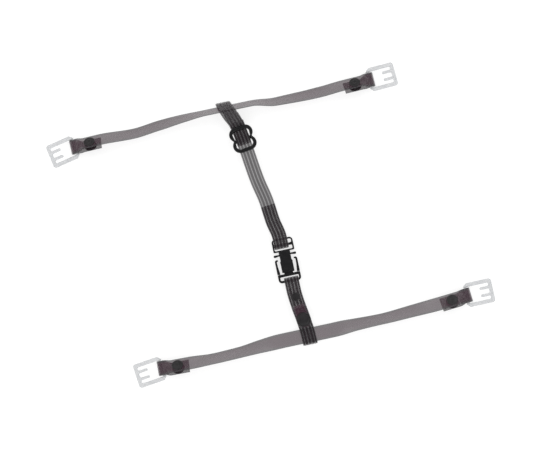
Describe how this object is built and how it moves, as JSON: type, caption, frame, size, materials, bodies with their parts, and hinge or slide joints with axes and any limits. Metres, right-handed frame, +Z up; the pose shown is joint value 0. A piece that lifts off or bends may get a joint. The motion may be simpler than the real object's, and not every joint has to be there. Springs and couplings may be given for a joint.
{
  "type": "retaining strap harness",
  "caption": "H-shaped harness of two cross straps and an adjustable centre strap, with comb hook plates, snap tabs, a slider and a side-release buckle.",
  "frame": {"origin": "middle of the H, on the surface that the harness lies on", "axes": "+X along the cross straps, +Y from the lower to the upper cross strap, +Z up from the surface"},
  "size_m": [0.4213, 0.2764, 0.0176],
  "materials": {
    "strap": "satin translucent moulded strap",
    "clear_plate": "milky translucent moulding",
    "black_plastic": "polished moulding",
    "snap": "satin"
  },
  "bodies": {
    "centre": {"centre_strap": "strap", "buckle_socket": "black_plastic"},
    "slider": {"slider": "black_plastic", "slider_strap_end": "strap"},
    "plug": {"buckle_plug": "black_plastic", "lower_strap": "strap", "keeper_snap_cap": "snap", "keeper_snap_socket": "snap", "keeper_snap_stud": "snap", "keeper_snap_back": "snap", "lower_snap_stud": "snap", "lower_snap_back": "snap"},
    "arm_left": {"buckle_arm_left": "black_plastic"},
    "arm_right": {"buckle_arm_right": "black_plastic"},
    "tab": {"lower_tab": "strap", "lower_snap_cap": "snap", "lower_snap_socket": "snap"},
    "upper_cross": {"upper_cross_strap": "strap", "upper_left_snap_stud": "snap", "upper_left_snap_back": "snap", "upper_right_snap_stud": "snap", "upper_right_snap_back": "snap"},
    "lower_cross": {"lower_cross_strap": "strap", "lower_left_snap_stud": "snap", "lower_left_snap_back": "snap", "lower_right_snap_stud": "snap", "lower_right_snap_back": "snap"},
    "upper_left_plate": {"upper_left_hook_plate": "clear_plate"},
    "upper_left_tab": {"upper_left_tab": "strap", "upper_left_snap_cap": "snap", "upper_left_snap_socket": "snap"},
    "upper_right_plate": {"upper_right_hook_plate": "clear_plate"},
    "upper_right_tab": {"upper_right_tab": "strap", "upper_right_snap_cap": "snap", "upper_right_snap_socket": "snap"},
    "lower_left_plate": {"lower_left_hook_plate": "clear_plate"},
    "lower_left_tab": {"lower_left_tab": "strap", "lower_left_snap_cap": "snap", "lower_left_snap_socket": "snap"},
    "lower_right_plate": {"lower_right_hook_plate": "clear_plate"},
    "lower_right_tab": {"lower_right_tab": "strap", "lower_right_snap_cap": "snap", "lower_right_snap_socket": "snap"}
  },
  "joints": [
    {"name": "slider_adjust", "type": "slide", "parent": "centre", "child": "slider", "axis": [-0.1426, 0.9898, 0], "range_m": [-0.018, 0.002]},
    {"name": "buckle_release", "type": "slide", "parent": "centre", "child": "plug", "axis": [0, -1, 0], "range_m": [0, 0.03]},
    {"name": "arm_left_squeeze", "type": "hinge", "parent": "plug", "child": "arm_left", "pos_m": [-0.0006, -0.0559, 0.00325], "axis": [0, 0, -1], "range_deg": [0, 4], "stiffness_Nm_per_rad": 0.05},
    {"name": "arm_right_squeeze", "type": "hinge", "parent": "plug", "child": "arm_right", "pos_m": [0.0206, -0.0559, 0.00325], "axis": [0, 0, 1], "range_deg": [0, 4], "stiffness_Nm_per_rad": 0.05},
    {"name": "tab_open", "type": "hinge", "parent": "plug", "child": "tab", "pos_m": [0.0126, -0.09, 0.0096], "axis": [-0.9893, -0.1461, 0], "range_deg": [0, 75]},
    {"name": "upper_cross_shift", "type": "slide", "parent": "centre", "child": "upper_cross", "axis": [1, 0, 0], "range_m": [-0.012, 0.012]},
    {"name": "lower_cross_shift", "type": "slide", "parent": "plug", "child": "lower_cross", "axis": [1, 0, 0], "range_m": [-0.012, 0.012]},
    {"name": "upper_left_plate_swivel", "type": "hinge", "parent": "upper_cross", "child": "upper_left_plate", "pos_m": [-0.17975, 0.11803, 0.00425], "axis": [-0.1908, 0.9816, 0], "range_deg": [-80, 90]},
    {"name": "upper_left_tab_open", "type": "hinge", "parent": "upper_cross", "child": "upper_left_tab", "pos_m": [-0.178, 0.11808, 0.0012], "axis": [-0.0262, 0.9997, 0], "range_deg": [0, 70]},
    {"name": "upper_right_plate_swivel", "type": "hinge", "parent": "upper_cross", "child": "upper_right_plate", "pos_m": [0.13435, 0.12276, 0.00425], "axis": [0.0698, -0.9976, 0], "range_deg": [-80, 90]},
    {"name": "upper_right_tab_open", "type": "hinge", "parent": "upper_cross", "child": "upper_right_tab", "pos_m": [0.1326, 0.12269, 0.0012], "axis": [0.0349, -0.9994, 0], "range_deg": [0, 70]},
    {"name": "lower_left_plate_swivel", "type": "hinge", "parent": "lower_cross", "child": "lower_left_plate", "pos_m": [-0.13715, -0.12383, 0.00425], "axis": [-0.1219, 0.9925, 0], "range_deg": [-80, 90]},
    {"name": "lower_left_tab_open", "type": "hinge", "parent": "lower_cross", "child": "lower_left_tab", "pos_m": [-0.1354, -0.12388, 0.0012], "axis": [0.0262, 0.9997, 0], "range_deg": [0, 70]},
    {"name": "lower_right_plate_swivel", "type": "hinge", "parent": "lower_cross", "child": "lower_right_plate", "pos_m": [0.18415, -0.1163, 0.00425], "axis": [0, -1, 0], "range_deg": [-80, 90]},
    {"name": "lower_right_tab_open", "type": "hinge", "parent": "lower_cross", "child": "lower_right_tab", "pos_m": [0.18241, -0.11643, 0.0012], "axis": [0.0785, -0.9969, 0], "range_deg": [0, 70]}
  ]
}
